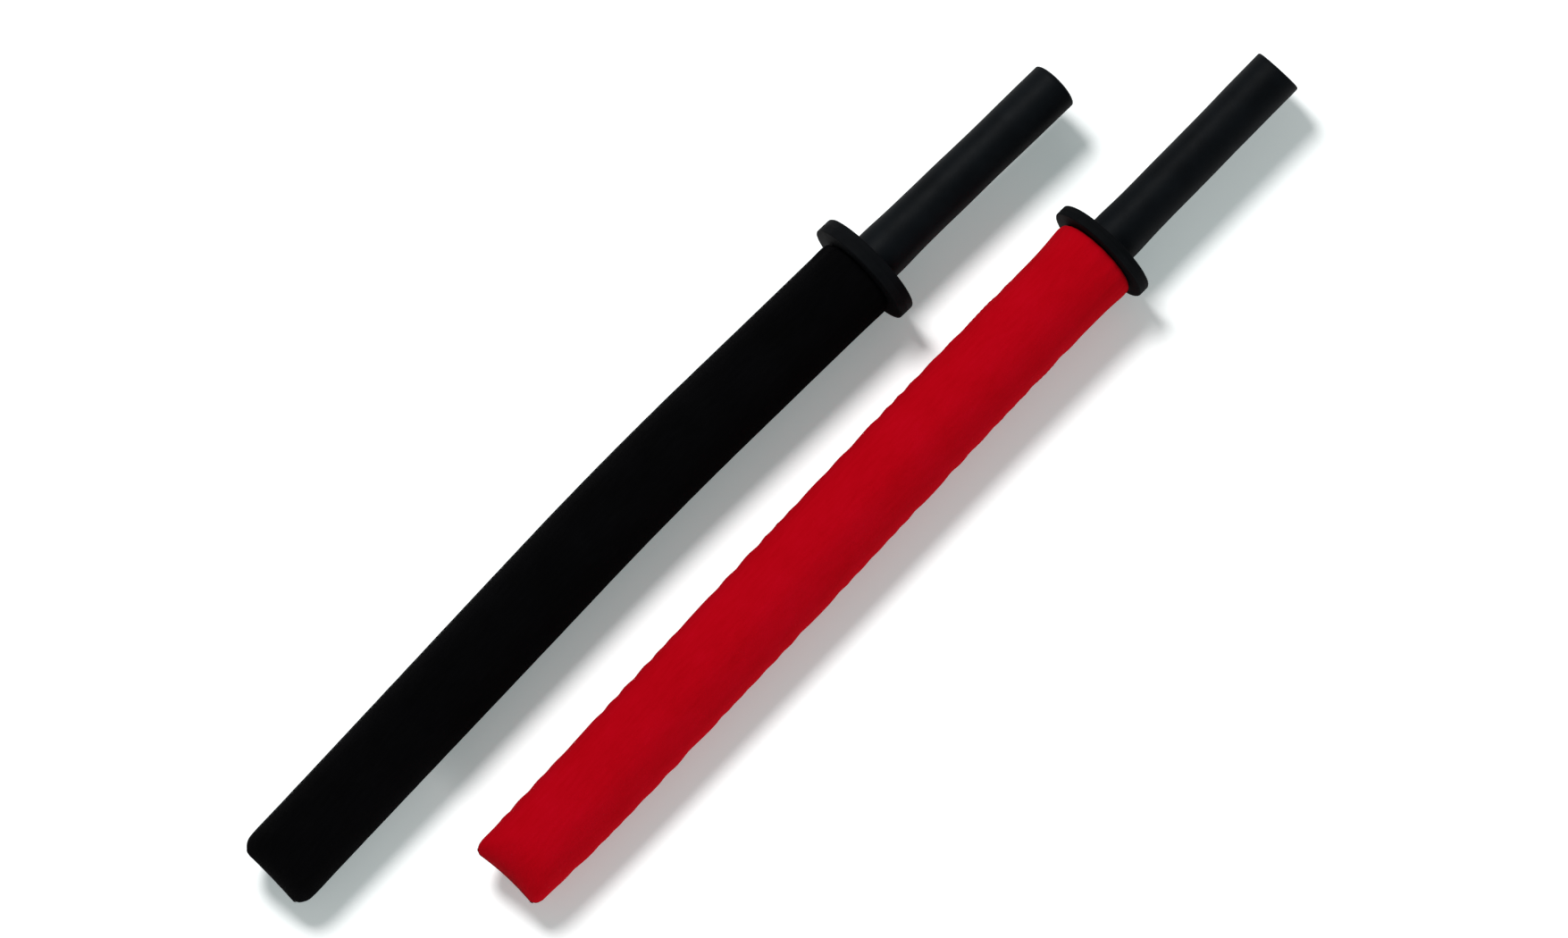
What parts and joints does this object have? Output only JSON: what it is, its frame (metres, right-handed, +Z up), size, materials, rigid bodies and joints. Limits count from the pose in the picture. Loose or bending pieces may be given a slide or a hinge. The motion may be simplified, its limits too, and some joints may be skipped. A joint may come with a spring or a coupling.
{
  "type": "padded training sticks",
  "caption": "Padded training sticks: a plastic core pipe in a foam body with a sewn cloth cover, a round rubber guard and a slim foam grip.",
  "frame": {"origin": "on the floor that the sticks lie on, at the middle of the pair's bounding box", "axes": "+X along the black stick's grip from the padded tips to the butts, +Y from the red stick to the black one, +Z up"},
  "size_m": [0.8049, 0.184, 0.0751],
  "materials": {
    "pipe": "extruded PVC, satin",
    "cap": "moulded soft PVC, matt",
    "plug": "moulded polyethylene, matt",
    "padding": "closed-cell foam, matt",
    "black_cloth": "brushed knit cloth, matt",
    "red_cloth": "brushed knit cloth, matt",
    "elastic": "braided elastic cord, matt",
    "guard": "moulded rubber, matt",
    "grip": "dipped foam rubber, matt"
  },
  "bodies": {
    "black_stick": {"black_core_pipe": "pipe", "black_pipe_front_cap": "cap", "black_pipe_rear_plug": "plug", "black_foam_sleeve": "padding", "black_foam_tip": "padding", "black_cover": "black_cloth", "black_cover_elastic": "elastic", "black_guard": "guard", "black_grip": "grip"},
    "red_stick": {"red_core_pipe": "pipe", "red_pipe_front_cap": "cap", "red_pipe_rear_plug": "plug", "red_foam_sleeve": "padding", "red_foam_tip": "padding", "red_cover": "red_cloth", "red_cover_elastic": "elastic", "red_guard": "guard", "red_grip": "grip"}
  },
  "joints": [
    {"name": "red_lift", "type": "slide", "parent": "black_stick", "child": "red_stick", "axis": [0, 0, 1], "range_m": [0, 0.15]}
  ]
}
